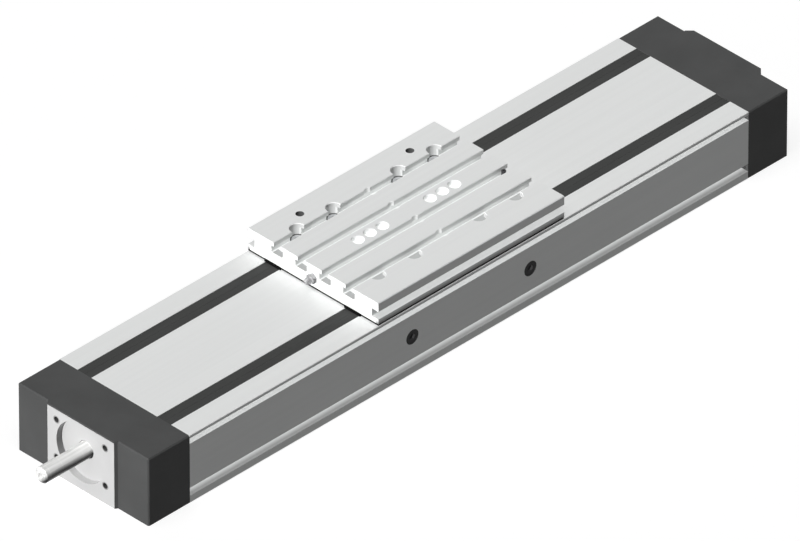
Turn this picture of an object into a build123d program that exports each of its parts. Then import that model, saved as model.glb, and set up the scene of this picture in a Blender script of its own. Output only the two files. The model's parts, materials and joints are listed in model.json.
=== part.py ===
from build123d import *
from math import cos, pi, sin
import os

os.makedirs("parts", exist_ok=True)

# A compact linear module: a low, wide extruded frame with two rails and a ball screw inside, and a T-slotted
# carriage on top. X runs along the module, with the drive journal at -X. Z is up. The origin is the centre of
# the frame's underside, and the carriage rests at the middle of its travel. All sizes are in millimetres.

# Frame
FRAME_LENGTH = 620.0
FRAME_WIDTH = 145.0
FRAME_HEIGHT = 64.0
SIDE_WALL = 5.0
FLOOR_THICKNESS = 10.0
RAIL_SEAT_HEIGHT = 15.0
RAIL_SEAT_WIDTH = 40.5
FLANGE_WIDTH = 20.5
FLANGE_DEPTH = 10.0
FRAME_CHAMFER = 0.4
SLOT_WIDTH = 15.5
CLAMP_GROOVE_BOTTOM = 6.6
CLAMP_GROOVE_HEIGHT = 7.4
CLAMP_GROOVE_DEPTH = 7.4
UPPER_GROOVE_BELOW_TOP = 2.8
UPPER_GROOVE_HEIGHT = 5.0
UPPER_GROOVE_DEPTH = 6.0
SERVICE_HOLE_RADIUS = 6.75
SERVICE_HOLE_OFFSET = 65.5

# Cover plate and seal strips
COVER_THICKNESS = 3.0
COVER_TAB_LENGTH = 15.0
COVER_TAB_THICKNESS = 1.4
COVER_TAB_INSET = 3.0
STRIP_THICKNESS = 2.4
STRIP_BELOW_TOP = 0.4
STRIP_TONGUE_THICKNESS = 1.0
STRIP_TONGUE_DEPTH = 2.0
STRIP_GAP = 0.3
GUIDE_SETBACK = 1.0
WIPER_BAR_WIDTH = 3.0
WIPER_BAR_GAP = 0.3
WIPER_BAR_SETBACK = 0.2

# Guide rails and runner blocks
RAIL_WIDTH = 20.0
RAIL_HEIGHT = 18.0
RAIL_CORNER = 0.8
# The tracks in each side of the rail, from the lowest point up: depth into the side, distance below the top
RAIL_TRACKS = [(0, 12.0), (1.5, 10.0), (1.5, 8.0), (0, 6.0), (0, 5.0), (1.0, 3.5), (1.0, 2.5), (0.2, 1.3)]
RAIL_END_GAP = 2.0
RAIL_HOLE_PITCH = 60.0
RAIL_COUNTERBORE_RADIUS = 4.75
RAIL_COUNTERBORE_DEPTH = 9.0
RAIL_PLUG_THICKNESS = 2.5
BLOCK_WIDTH = 44.0
BLOCK_TOP_ABOVE_SEAT = 28.0
BLOCK_BOTTOM_ABOVE_SEAT = 4.6
BLOCK_STEEL_LENGTH = 50.0
BLOCK_CAP_LENGTH = 10.0
BLOCK_CAP_INSET = 0.5
BLOCK_SEAL_THICKNESS = 1.5
BLOCK_SEAL_INSET = 1.0
BLOCK_PITCH = 112.0
BLOCK_HOLE_PITCH_X = 36.0
BLOCK_HOLE_PITCH_Y = 32.0
BLOCK_HOLE_DEPTH = 9.0
RAIL_CLEARANCE = 0.4
SEAL_CLEARANCE = 0.1

# Carriage
CARRIAGE_LENGTH = 206.0
CARRIAGE_WIDTH = FRAME_WIDTH
CARRIAGE_THICKNESS = 20.0
CARRIAGE_GAP = 2.0
TEE_PITCH = 26.6
TEE_COUNT = 4
TEE_MOUTH = 7.4
TEE_LIP = 4.0
TEE_CHAMBER_WIDTH = 13.0
TEE_CHAMBER_HEIGHT = 6.0
TEE_ENTRY_RADIUS = 4.8
TEE_CHAMFER = 0.5
PLATE_CHAMFER = 0.6
HOLE_CHAMFER = 0.5
EDGE_GROOVE_BOTTOM = 4.5
EDGE_GROOVE_HEIGHT = 7.2
EDGE_GROOVE_DEPTH = 7.4
COUNTERBORE_RADIUS = 6.5
COUNTERBORE_PITCH = 40.0
COUNTERBORE_DEPTH = 14.0
CENTRE_HOLE_RADIUS = 5.0
CENTRE_HOLE_DEPTH = 9.0
CENTRE_HOLE_PITCH = 13.5
CENTRE_GROUP_OFFSET = 40.0
DOWEL_HOLE_RADIUS = 3.5
DOWEL_HOLE_DEPTH = 10.0
DOWEL_HOLE_X = 61.0
DOWEL_HOLE_Y = 57.0
LUBE_HOLE_HEIGHT = 8.0
LUBE_HOLE_RADIUS = 3.0
LUBE_HOLE_DEPTH = 20.0
NIPPLE_SPIGOT = 8.0
NIPPLE_HEX_RADIUS = 4.6
NIPPLE_HEX_HEIGHT = 3.5
NIPPLE_NECK_RADIUS = 2.0
NIPPLE_HEAD_RADIUS = 2.9
NIPPLE_HEAD_REACH = 6.2
NIPPLE_BORE_RADIUS = 0.8
LUBE_PLUG_RECESS = 0.5
LUBE_PLUG_SOCKET = 1.5
STOP_SCREW_INSET = 8.0
STOP_SCREW_RADIUS = 2.0
STOP_SCREW_BELOW_TOP = 1.0

# Inner saddle that reaches up through the slots
SADDLE_INSET = 8.0
SADDLE_WIDTH = 130.5
SADDLE_THICKNESS = 8.0
RIB_WIDTH = 12.0
RIB_HEIGHT = 7.0
NECK_THICKNESS = 4.0
HEAD_WIDTH = 17.5
HEAD_THICKNESS = 4.5
HEAD_CLEARANCE = 0.25
HEAD_ABOVE_FRAME = 1.0

# Ball screw, nut and bearings
SCREW_AXIS_HEIGHT = 35.0
SCREW_RADIUS = 10.0
FIXED_JOURNAL_RADIUS = 7.5
DRIVE_JOURNAL_RADIUS = 7.0
DRIVE_JOURNAL_LENGTH = 44.0
JOURNAL_CHAMFER = 1.5
CENTRE_DRILL_RADIUS = 2.5
FLOATING_JOURNAL_RADIUS = 6.0
FLOATING_COLLAR_RADIUS = 8.0
FLOATING_COLLAR_LENGTH = 6.0
FLOATING_JOURNAL_OVERRUN = 2.0
FLOATING_SEAT_GAP = 4.0
NUT_RADIUS = 16.5
NUT_LENGTH = 52.0
NUT_CLEARANCE = 0.08
WIPER_THICKNESS = 4.0
HOUSING_WIDTH = 42.0
HOUSING_BOTTOM_GAP = 2.0
EAR_WIDTH = 66.0
EAR_THICKNESS = 6.0
EAR_HOLE_X = 22.0
EAR_HOLE_Y = 27.0
WINDOW_CLEARANCE = 0.5
SADDLE_CHANNEL_CLEARANCE = 1.5
FIXED_BEARING_RADIUS = 21.0
FIXED_BEARING_WIDTH = 22.0
FIXED_BALL_RADIUS = 3.0
FIXED_BALL_COUNT = 12
FLOATING_BEARING_RADIUS = 16.0
FLOATING_BEARING_WIDTH = 10.0
FLOATING_BALL_RADIUS = 2.5
FLOATING_BALL_COUNT = 9
BALL_CLEARANCE = 0.04
RUNNING_CLEARANCE = 0.05
LOCK_NUT_RADIUS = 13.0
LOCK_NUT_WIDTH = 6.4
LOCK_NUT_SLOT = 4.0
LOCK_NUT_SLOT_DEPTH = 2.0
BALL_LAND = 0.65
CIRCLIP_THICKNESS = 1.2
CIRCLIP_RADIUS = 8.5

# End blocks and caps
END_LENGTH = 45.0
CAP_WALL = 3.0
CAP_TOP_WALL = 1.4
CAP_SIDE_WALL = 3.0
CAP_CLEARANCE = 0.2
CAP_CHAMFER = 1.0
CAP_RIB_HEIGHT = 1.0
CAP_RIB_WIDTH = 2.0
CAP_RIB_LENGTH = 32.0
FLANGE_PLATE_WIDTH = 74.0
FLANGE_PLATE_PROUD = 2.5
RIM_WIDTH = 1.6
RECESS_RADIUS = 27.0
RECESS_DEPTH = 6.0
FLANGE_HOLE_RADIUS = 2.5
FLANGE_HOLE_DEPTH = 12.0
FLANGE_HOLE_SPACING_Y = 54.0
FLANGE_HOLE_SPACING_Z = 36.0
RETAINER_RADIUS = 26.0
RETAINER_THICKNESS = 4.3
RETAINER_LIP = 1.0
RETAINER_SHAFT_GAP = 0.5
RETAINER_RIM = 4.0
SHAFT_SEAL_RADIUS = 10.0
SHOULDER_THICKNESS = 8.0
SHOULDER_BORE_RADIUS = 14.0
PANEL_WIDTH = 84.4
PANEL_HEIGHT = 5.0
PANEL_SKIN = 3.0
BUMPER_RADIUS = 3.9
BUMPER_LENGTH = 12.0
BUMPER_STEM_RADIUS = 2.0
BUMPER_STEM_LENGTH = 8.0
BUMPER_Y = 25.0

# Screws
M3_RADIUS, M3_HEAD_RADIUS = 1.5, 2.8
M5_RADIUS, M5_HEAD_RADIUS, M5_HEAD_HEIGHT, M5_SOCKET = 2.5, 4.25, 5.0, 2.0
LOW_HEAD_HEIGHT = 3.0
M6_RADIUS, M6_HEAD_RADIUS, M6_LOW_HEAD_HEIGHT, M6_SOCKET = 3.0, 5.0, 4.0, 2.5
HEAD_POCKET_CLEARANCE = 0.35
HOLE_CLEARANCE = 0.3
SOCKET_DEPTH = 2.5
SOCKET_SHARE = 0.6
THREAD_RELIEF = 1.0
BLOCK_SCREW_GRIP = 12.0
BLOCK_SCREW_LOW = (57.0, 7.5)
BLOCK_SCREW_HIGH = (60.0, 57.5)
COVER_SCREW_Y = 25.0
COVER_SCREW_LENGTH = 6.0

# Side plugs
PLUG_CLEARANCE = 0.05
PLUG_RECESS = 0.4
PLUG_RIM = 0.8
PLUG_RIM_THICKNESS = 0.8
PLUG_SOCKET_RADIUS = 3.2
PLUG_SOCKET_DEPTH = 2.0

# Worked-out places
HALF_LENGTH = FRAME_LENGTH / 2
HALF_WIDTH = FRAME_WIDTH / 2
SLOT_OUTER = HALF_WIDTH - FLANGE_WIDTH
SLOT_INNER = SLOT_OUTER - SLOT_WIDTH
SLOT_CENTRE = (SLOT_OUTER + SLOT_INNER) / 2
INNER_WALL = HALF_WIDTH - SIDE_WALL
RAIL_SEAT_INNER = SLOT_CENTRE - RAIL_SEAT_WIDTH / 2
COVER_UNDERSIDE = FRAME_HEIGHT - COVER_THICKNESS
FLANGE_UNDERSIDE = FRAME_HEIGHT - FLANGE_DEPTH
STRIP_TOP = FRAME_HEIGHT - STRIP_BELOW_TOP
STRIP_BOTTOM = STRIP_TOP - STRIP_THICKNESS
BLOCK_TOP = RAIL_SEAT_HEIGHT + BLOCK_TOP_ABOVE_SEAT
BLOCK_BOTTOM = RAIL_SEAT_HEIGHT + BLOCK_BOTTOM_ABOVE_SEAT
SADDLE_TOP = BLOCK_TOP + SADDLE_THICKNESS
RIB_TOP = SADDLE_TOP + RIB_HEIGHT
HEAD_BOTTOM = FRAME_HEIGHT + HEAD_ABOVE_FRAME
HEAD_TOP = HEAD_BOTTOM + HEAD_THICKNESS
CARRIAGE_BOTTOM = FRAME_HEIGHT + CARRIAGE_GAP
CARRIAGE_TOP = CARRIAGE_BOTTOM + CARRIAGE_THICKNESS
SADDLE_LENGTH = CARRIAGE_LENGTH - 2 * SADDLE_INSET
STOP_SCREW_X = CARRIAGE_LENGTH / 2 - STOP_SCREW_INSET
COUNTERBORE_FLOOR = CARRIAGE_TOP - COUNTERBORE_DEPTH
TEE_FLOOR = CARRIAGE_TOP - TEE_LIP - TEE_CHAMBER_HEIGHT
TEE_CENTRES = [(i - (TEE_COUNT - 1) / 2) * TEE_PITCH for i in range(TEE_COUNT)]
COUNTERBORE_XS = [end * BLOCK_PITCH / 2 + i * COUNTERBORE_PITCH / 2 for end in (-1, 1) for i in (-1, 1)]
CENTRE_HOLE_XS = [side * CENTRE_GROUP_OFFSET + i * CENTRE_HOLE_PITCH for side in (-1, 1) for i in (-1, 0, 1)]
END_FACE = HALF_LENGTH + END_LENGTH
BLOCK_FACE = END_FACE - CAP_WALL
PLATE_FACE = END_FACE + FLANGE_PLATE_PROUD
RECESS_FLOOR = PLATE_FACE - RECESS_DEPTH
RETAINER_BACK = RECESS_FLOOR - RETAINER_THICKNESS
FIXED_BEARING_BACK = HALF_LENGTH + SHOULDER_THICKNESS
FIXED_BEARING_FRONT = FIXED_BEARING_BACK + FIXED_BEARING_WIDTH
LOCK_NUT_FRONT = FIXED_BEARING_FRONT + LOCK_NUT_WIDTH
JOURNAL_TIP = PLATE_FACE + DRIVE_JOURNAL_LENGTH
FLOATING_BEARING_BACK = HALF_LENGTH + SHOULDER_THICKNESS + FLOATING_SEAT_GAP
SCREW_END = FLOATING_BEARING_BACK - FLOATING_COLLAR_LENGTH
FLOATING_BEARING_FRONT = FLOATING_BEARING_BACK + FLOATING_BEARING_WIDTH
CIRCLIP_FRONT = FLOATING_BEARING_FRONT + CIRCLIP_THICKNESS
FLOATING_JOURNAL_END = CIRCLIP_FRONT + FLOATING_JOURNAL_OVERRUN
BLOCK_SIDE = HALF_WIDTH - CAP_SIDE_WALL - CAP_CLEARANCE
BLOCK_HIGH = FRAME_HEIGHT - CAP_TOP_WALL - CAP_CLEARANCE
SIDES = {"left": 1, "right": -1}
ENDS = {"front": -1, "rear": 1}


def box(x, y, z):
    """A block between the two ends given for each axis."""
    low, high = zip(*(sorted(pair) for pair in (x, y, z)))
    size = [b - a for a, b in zip(low, high)]
    return Pos(*[(a + b) / 2 for a, b in zip(low, high)]) * Box(*size)


def rod_x(radius, x, y, z):
    """A cylinder along X between the two values of x."""
    return Pos((x[0] + x[1]) / 2, y, z) * Rot(0, 90, 0) * Cylinder(radius, abs(x[1] - x[0]))


def rod_y(radius, x, y, z):
    """A cylinder along Y between the two values of y."""
    return Pos(x, (y[0] + y[1]) / 2, z) * Rot(90, 0, 0) * Cylinder(radius, abs(y[1] - y[0]))


def rod_z(radius, x, y, z):
    """A cylinder along Z between the two values of z."""
    return Pos(x, y, (z[0] + z[1]) / 2) * Cylinder(radius, abs(z[1] - z[0]))


def chamfered_bar(half_width, low, high, chamfer, x):
    """A bar along X, centred on the centre plane, with its two upper long edges chamfered."""
    right = [(half_width, low), (half_width, high - chamfer), (half_width - chamfer, high)]
    return prism_x(right + [(-y, z) for y, z in reversed(right)], x)


def sunk_hole(radius, x, y, floor, top, chamfer):
    """A vertical hole from its floor to the top face, with a chamfered mouth."""
    mouth = Pos(x, y, top - chamfer / 2) * Cone(radius, radius + chamfer, chamfer)
    return rod_z(radius, x, y, (floor, top)) + mouth


def turned(outline):
    """A piece turned about the screw axis from a closed outline of (x, radius) points."""
    face = make_face(Polyline(*outline, close=True))
    return Pos(0, 0, SCREW_AXIS_HEIGHT) * revolve(face, Axis.X)


def ring(outer, inner, x):
    """A plain ring on the screw axis between the two values of x."""
    return turned([(x[0], inner), (x[1], inner), (x[1], outer), (x[0], outer)])


def prism_x(outline, x):
    """A closed outline of (y, z) points swept along X between the two values of x."""
    start, end = sorted(x)
    face = Plane.YZ.offset(start) * make_face(Polyline(*outline, close=True))
    return extrude(face, amount=end - start)


def hex_z(across, x, y, z):
    """A hexagonal pocket or head along Z, by its half width across corners."""
    prism = extrude(RegularPolygon(across, 6), amount=abs(z[1] - z[0]))
    return Pos(x, y, min(z)) * prism


def save(name, *pieces):
    """Write one node, made of one or more separate solids."""
    solids = [solid for piece in pieces for solid in piece.solids()]
    shape = solids[0] if len(solids) == 1 else Compound(solids)
    export_step(shape, f"parts/{name}.step")
    print(name, len(solids), round(sum(solid.volume for solid in solids)))


def cap_screw(radius, head_radius, head_height, socket, x, y, head_bottom, length):
    """A socket cap screw that points down, by the height of the face under its head."""
    top = head_bottom + head_height
    screw = rod_z(head_radius, x, y, (head_bottom, top))
    screw += rod_z(radius, x, y, (head_bottom - length, head_bottom))
    return screw - hex_z(socket, x, y, (top - min(SOCKET_DEPTH, SOCKET_SHARE * head_height), top))


def rail_outline(centre, grow=0.0):
    """The rail's section about its centre line, with its ball tracks; grow widens it for a clearance."""
    half = RAIL_WIDTH / 2
    right = [(half + grow, RAIL_SEAT_HEIGHT - grow)]
    right += [(half - inset + grow, RAIL_SEAT_HEIGHT + RAIL_HEIGHT - below) for inset, below in RAIL_TRACKS]
    right += [(half - RAIL_CORNER + grow, RAIL_SEAT_HEIGHT + RAIL_HEIGHT + grow)]
    return [(centre + y, z) for y, z in right] + [(centre - y, z) for y, z in reversed(right)]


def frame_profile():
    """The extruded channel: floor, rail seats, side walls, top flanges and the grooves in its long sides."""
    x = (-HALF_LENGTH, HALF_LENGTH)
    body = chamfered_bar(HALF_WIDTH, 0, FRAME_HEIGHT, FRAME_CHAMFER, x)
    body -= box(x, (-INNER_WALL, INNER_WALL), (RAIL_SEAT_HEIGHT, FLANGE_UNDERSIDE))
    body -= box(x, (-RAIL_SEAT_INNER, RAIL_SEAT_INNER), (FLOOR_THICKNESS, RAIL_SEAT_HEIGHT))
    body -= box(x, (-SLOT_OUTER, SLOT_OUTER), (FLANGE_UNDERSIDE, FRAME_HEIGHT))
    tongue_middle = (STRIP_TOP + STRIP_BOTTOM) / 2
    tongue = (tongue_middle - STRIP_TONGUE_THICKNESS / 2, tongue_middle + STRIP_TONGUE_THICKNESS / 2)
    upper = FRAME_HEIGHT - UPPER_GROOVE_BELOW_TOP
    for side in SIDES.values():
        clamp_z = (CLAMP_GROOVE_BOTTOM, CLAMP_GROOVE_BOTTOM + CLAMP_GROOVE_HEIGHT)
        body -= box(x, (side * (HALF_WIDTH - CLAMP_GROOVE_DEPTH), side * HALF_WIDTH), clamp_z)
        groove_y = (side * (HALF_WIDTH - UPPER_GROOVE_DEPTH), side * HALF_WIDTH)
        body -= box(x, groove_y, (upper - UPPER_GROOVE_HEIGHT, upper))
        body -= box(x, (side * SLOT_OUTER, side * (SLOT_OUTER + STRIP_TONGUE_DEPTH)), tongue)
        for end in ENDS.values():
            wall = (side * INNER_WALL, side * HALF_WIDTH)
            body -= rod_y(SERVICE_HOLE_RADIUS, end * SERVICE_HOLE_OFFSET, wall, SCREW_AXIS_HEIGHT)
            grip = (end * (HALF_LENGTH - BLOCK_SCREW_GRIP), end * HALF_LENGTH)
            for y, z in (BLOCK_SCREW_LOW, BLOCK_SCREW_HIGH):
                body -= rod_x(M5_RADIUS, grip, side * y, z)
        for hole_x in rail_hole_xs():
            seat = (RAIL_SEAT_HEIGHT - rail_screw_grip(), RAIL_SEAT_HEIGHT)
            body -= rod_z(M5_RADIUS, hole_x, side * SLOT_CENTRE, seat)
    return body


def rail_hole_xs():
    """Where the rail's screws stand, centred along the rail."""
    spaces = int((FRAME_LENGTH - 2 * RAIL_END_GAP - RAIL_HOLE_PITCH / 2) // RAIL_HOLE_PITCH)
    return [(i - spaces / 2) * RAIL_HOLE_PITCH for i in range(spaces + 1)]


def rail_screw_grip():
    """How deep the rail's screws go into the frame's floor."""
    return RAIL_SEAT_HEIGHT - CLAMP_GROOVE_BOTTOM


def cover_plate():
    """The flat cover with a groove in each edge for the strip, and a thinner tab at each end."""
    y = (-SLOT_INNER, SLOT_INNER)
    plate = box((-HALF_LENGTH, HALF_LENGTH), y, (COVER_UNDERSIDE, FRAME_HEIGHT))
    tab_y = (-SLOT_INNER + COVER_TAB_INSET, SLOT_INNER - COVER_TAB_INSET)
    reach = HALF_LENGTH + COVER_TAB_LENGTH
    plate += box((-reach, reach), tab_y, (COVER_UNDERSIDE, COVER_UNDERSIDE + COVER_TAB_THICKNESS))
    middle = (STRIP_TOP + STRIP_BOTTOM) / 2
    tongue = (middle - STRIP_TONGUE_THICKNESS / 2, middle + STRIP_TONGUE_THICKNESS / 2)
    for side in SIDES.values():
        edge = (side * (SLOT_INNER - STRIP_TONGUE_DEPTH), side * SLOT_INNER)
        plate -= box((-HALF_LENGTH, HALF_LENGTH), edge, tongue)
    for screw in cover_plate_screws():
        plate -= screw
    return plate


def cover_plate_screws():
    """Four countersunk screws that hold the cover's tabs to the end blocks."""
    top = COVER_UNDERSIDE + COVER_TAB_THICKNESS
    screws = []
    for end in ENDS.values():
        for side in SIDES.values():
            place = Pos(end * (HALF_LENGTH + COVER_TAB_LENGTH / 2), side * COVER_SCREW_Y, 0)
            head = Cone(M3_RADIUS, M3_HEAD_RADIUS, COVER_TAB_THICKNESS)
            head = Pos(0, 0, top - COVER_TAB_THICKNESS / 2) * head
            shank = rod_z(M3_RADIUS, 0, 0, (COVER_UNDERSIDE - COVER_SCREW_LENGTH, COVER_UNDERSIDE))
            screws.append(place * (head + shank))
    return screws


def strip(side, outer):
    """One lip of a slot's seal: it hangs on its tongue and stops just short of the saddle's neck."""
    x = (-HALF_LENGTH, HALF_LENGTH)
    middle = (STRIP_TOP + STRIP_BOTTOM) / 2
    tongue = (middle - STRIP_TONGUE_THICKNESS / 2, middle + STRIP_TONGUE_THICKNESS / 2)
    slit = NECK_THICKNESS / 2 + STRIP_GAP
    edge, lip, root = (SLOT_OUTER, SLOT_CENTRE + slit, 1) if outer else (SLOT_INNER, SLOT_CENTRE - slit, -1)
    body = box(x, (side * lip, side * edge), (STRIP_BOTTOM, STRIP_TOP))
    return body + box(x, (side * edge, side * (edge + root * STRIP_TONGUE_DEPTH)), tongue)


def guide_rail(side):
    """A profiled rail with counterbored holes along its length."""
    reach = HALF_LENGTH - RAIL_END_GAP
    rail = prism_x(rail_outline(side * SLOT_CENTRE), (-reach, reach))
    top = RAIL_SEAT_HEIGHT + RAIL_HEIGHT
    for x in rail_hole_xs():
        rail -= rod_z(M5_RADIUS + HOLE_CLEARANCE, x, side * SLOT_CENTRE, (RAIL_SEAT_HEIGHT, top))
        rail -= rod_z(RAIL_COUNTERBORE_RADIUS, x, side * SLOT_CENTRE, (top - RAIL_COUNTERBORE_DEPTH, top))
    return rail


def rail_screws(side):
    """The rail's cap screws, sunk in its counterbores."""
    bottom = RAIL_SEAT_HEIGHT + RAIL_HEIGHT - RAIL_COUNTERBORE_DEPTH
    length = bottom - RAIL_SEAT_HEIGHT + rail_screw_grip()
    return [cap_screw(M5_RADIUS, M5_HEAD_RADIUS, M5_HEAD_HEIGHT, M5_SOCKET, x, side * SLOT_CENTRE,
                      bottom, length)
            for x in rail_hole_xs()]


def rail_plugs(side):
    """Plugs that close the rail's counterbores flush with its top."""
    top = RAIL_SEAT_HEIGHT + RAIL_HEIGHT
    return [rod_z(RAIL_COUNTERBORE_RADIUS, x, side * SLOT_CENTRE, (top - RAIL_PLUG_THICKNESS, top))
            for x in rail_hole_xs()]


def block_section(side, x, inset, clearance):
    """A runner block's U section about the rail, between the two values of x."""
    half = BLOCK_WIDTH / 2 - inset
    centre = side * SLOT_CENTRE
    body = box(x, (centre - half, centre + half), (BLOCK_BOTTOM, BLOCK_TOP - inset))
    return body - prism_x(rail_outline(centre, clearance), x)


def block_hole_places(side, end):
    """The four threaded holes in a runner block's top."""
    middle_x, middle_y = end * BLOCK_PITCH / 2, side * SLOT_CENTRE
    return [(middle_x + i * BLOCK_HOLE_PITCH_X / 2, middle_y + j * BLOCK_HOLE_PITCH_Y / 2)
            for i in (-1, 1) for j in (-1, 1)]


def runner_block(side, end):
    """The steel body of a runner block."""
    middle, half = end * BLOCK_PITCH / 2, BLOCK_STEEL_LENGTH / 2
    body = block_section(side, (middle - half, middle + half), 0, RAIL_CLEARANCE)
    for x, y in block_hole_places(side, end):
        body -= rod_z(M5_RADIUS, x, y, (BLOCK_TOP - BLOCK_HOLE_DEPTH, BLOCK_TOP))
    return body


def block_ends(side, end, start, length, inset, clearance):
    """A pair of equal plates, one on each end of a runner block, start mm out from its steel body."""
    middle = end * BLOCK_PITCH / 2
    near = BLOCK_STEEL_LENGTH / 2 + start
    return [block_section(side, (middle + way * near, middle + way * (near + length)), inset, clearance)
            for way in (-1, 1)]


def inner_saddle():
    """The saddle: a plate on the runner blocks, with two necks that reach up through the slots."""
    half = SADDLE_LENGTH / 2
    x = (-half, half)
    body = box(x, (-SADDLE_WIDTH / 2, SADDLE_WIDTH / 2), (BLOCK_TOP, SADDLE_TOP))
    for y in (-SLOT_CENTRE, SLOT_CENTRE):
        body += box(x, (y - RIB_WIDTH / 2, y + RIB_WIDTH / 2), (SADDLE_TOP, RIB_TOP))
        body += box(x, (y - NECK_THICKNESS / 2, y + NECK_THICKNESS / 2), (RIB_TOP, HEAD_BOTTOM))
        body += box(x, (y - HEAD_WIDTH / 2, y + HEAD_WIDTH / 2), (HEAD_BOTTOM, HEAD_TOP))
    window = housing_half_length() + WINDOW_CLEARANCE, HOUSING_WIDTH / 2 + WINDOW_CLEARANCE
    body -= box((-window[0], window[0]), (-window[1], window[1]), (BLOCK_TOP, SADDLE_TOP))
    channel = SCREW_RADIUS + SADDLE_CHANNEL_CLEARANCE
    body -= box(x, (-channel, channel), (BLOCK_TOP, SCREW_AXIS_HEIGHT + channel))
    for side in SIDES.values():
        for end in ENDS.values():
            for hole_x, hole_y in block_hole_places(side, end):
                body -= rod_z(M5_RADIUS + HOLE_CLEARANCE, hole_x, hole_y, (BLOCK_TOP, SADDLE_TOP))
                body -= rod_z(M5_HEAD_RADIUS + HEAD_POCKET_CLEARANCE, hole_x, hole_y,
                              (SADDLE_TOP - LOW_HEAD_HEIGHT, SADDLE_TOP))
        for hole_x in COUNTERBORE_XS:
            body -= rod_z(M6_RADIUS, hole_x, side * SLOT_CENTRE, (HEAD_BOTTOM, HEAD_TOP))
    for hole_x, hole_y in ear_hole_places():
        body -= rod_z(M5_RADIUS, hole_x, hole_y, (SADDLE_TOP - ear_screw_grip(), SADDLE_TOP))
    return body


def saddle_screws():
    """Low-head screws that hold the saddle to the four runner blocks."""
    bottom = SADDLE_TOP - LOW_HEAD_HEIGHT
    length = bottom - BLOCK_TOP + BLOCK_HOLE_DEPTH - THREAD_RELIEF
    return [cap_screw(M5_RADIUS, M5_HEAD_RADIUS, LOW_HEAD_HEIGHT, M5_SOCKET, x, y, bottom, length)
            for side in SIDES.values() for end in ENDS.values() for x, y in block_hole_places(side, end)]


def tee_outline(y):
    """A T-slot's section: chamfered mouth, lips and chamber."""
    mouth, chamber, lip = TEE_MOUTH / 2, TEE_CHAMBER_WIDTH / 2, CARRIAGE_TOP - TEE_LIP
    right = [(mouth + TEE_CHAMFER, CARRIAGE_TOP), (mouth, CARRIAGE_TOP - TEE_CHAMFER), (mouth, lip),
             (chamber, lip), (chamber, TEE_FLOOR)]
    return [(y + across, z) for across, z in right] + [(y - across, z) for across, z in reversed(right)]


def carriage_plate():
    """The carriage's top plate with its T-slots, side grooves, counterbores and locating holes."""
    half_x, half_y = CARRIAGE_LENGTH / 2, CARRIAGE_WIDTH / 2
    x = (-half_x, half_x)
    body = chamfered_bar(half_y, CARRIAGE_BOTTOM, CARRIAGE_TOP, PLATE_CHAMFER, x)
    for y in TEE_CENTRES:
        body -= prism_x(tee_outline(y), x)
        body -= sunk_hole(TEE_ENTRY_RADIUS, 0, y, TEE_FLOOR, CARRIAGE_TOP, TEE_CHAMFER)
    groove_bottom = CARRIAGE_BOTTOM + EDGE_GROOVE_BOTTOM
    groove_z = (groove_bottom, groove_bottom + EDGE_GROOVE_HEIGHT)
    for side in SIDES.values():
        body -= box(x, (side * (half_y - EDGE_GROOVE_DEPTH), side * half_y), groove_z)
        passage = HEAD_WIDTH / 2 + HEAD_CLEARANCE
        middle = side * SLOT_CENTRE
        body -= box(x, (middle - passage, middle + passage), (CARRIAGE_BOTTOM, HEAD_TOP))
        for hole_x in COUNTERBORE_XS:
            body -= sunk_hole(COUNTERBORE_RADIUS, hole_x, middle, COUNTERBORE_FLOOR, CARRIAGE_TOP, HOLE_CHAMFER)
            body -= rod_z(M6_RADIUS + HOLE_CLEARANCE, hole_x, middle, (HEAD_TOP, COUNTERBORE_FLOOR))
    for hole_x in CENTRE_HOLE_XS:
        floor = CARRIAGE_TOP - CENTRE_HOLE_DEPTH
        body -= sunk_hole(CENTRE_HOLE_RADIUS, hole_x, 0, floor, CARRIAGE_TOP, HOLE_CHAMFER)
    for end in ENDS.values():
        body -= rod_z(DOWEL_HOLE_RADIUS, end * DOWEL_HOLE_X, DOWEL_HOLE_Y,
                      (CARRIAGE_TOP - DOWEL_HOLE_DEPTH, CARRIAGE_TOP))
        body -= rod_x(LUBE_HOLE_RADIUS, (end * (half_x - LUBE_HOLE_DEPTH), end * half_x), 0,
                      CARRIAGE_BOTTOM + LUBE_HOLE_HEIGHT)
    body -= rod_z(STOP_SCREW_RADIUS, STOP_SCREW_X, TEE_CENTRES[1], (TEE_FLOOR - STOP_SCREW_RADIUS, TEE_FLOOR))
    return body


def carriage_screws():
    """Cap screws that hold the plate to the saddle's heads."""
    length = COUNTERBORE_FLOOR - HEAD_BOTTOM
    return [cap_screw(M6_RADIUS, M6_HEAD_RADIUS, M6_LOW_HEAD_HEIGHT, M6_SOCKET, x, side * SLOT_CENTRE,
                      COUNTERBORE_FLOOR, length)
            for side in SIDES.values() for x in COUNTERBORE_XS]


def stop_screw():
    """The small set screw that stands in one T-slot near the carriage's rear end."""
    low, high = TEE_FLOOR - STOP_SCREW_RADIUS, CARRIAGE_TOP - STOP_SCREW_BELOW_TOP
    screw = rod_z(STOP_SCREW_RADIUS, STOP_SCREW_X, TEE_CENTRES[1], (low, high))
    socket = (high - STOP_SCREW_RADIUS, high)
    return screw - hex_z(STOP_SCREW_RADIUS / 2, STOP_SCREW_X, TEE_CENTRES[1], socket)


def strip_guides():
    """Dark guides in the plate's underside, where the strips enter the carriage at each end."""
    guides = []
    half = HEAD_WIDTH / 2 + HEAD_CLEARANCE
    low = (CARRIAGE_BOTTOM + HEAD_TOP) / 2
    for side in SIDES.values():
        middle = side * SLOT_CENTRE
        for end in ENDS.values():
            x = (end * SADDLE_LENGTH / 2, end * (CARRIAGE_LENGTH / 2 - GUIDE_SETBACK))
            guides.append(box(x, (middle - half, middle + half), (low, HEAD_TOP)))
    return guides


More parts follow.
